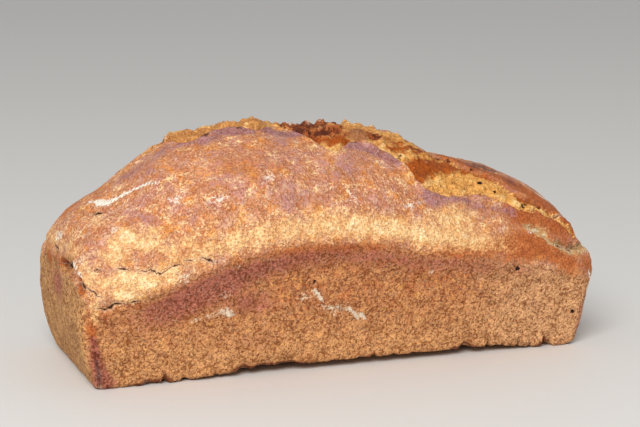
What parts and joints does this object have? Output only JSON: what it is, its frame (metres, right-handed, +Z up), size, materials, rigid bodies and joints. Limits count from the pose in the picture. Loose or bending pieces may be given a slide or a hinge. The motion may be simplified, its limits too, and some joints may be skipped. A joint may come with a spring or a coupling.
{
  "type": "sourdough tin loaf",
  "caption": "Whole tin-baked sourdough loaf: leaning straight walls, a high uneven dome that slopes to one end, and a long craggy tear along its top.",
  "frame": {"origin": "on the table, under the middle of the loaf's bounding box", "axes": "+X along the loaf from its tall left end to its low right end, -Y towards the long wall that faces the viewer, +Z up"},
  "size_m": [0.2916, 0.1268, 0.1285],
  "materials": {
    "crust": "dry baked crust, matt with a faint sheen on the dome"
  },
  "bodies": {
    "root": {"loaf": "crust"}
  },
  "joints": []
}
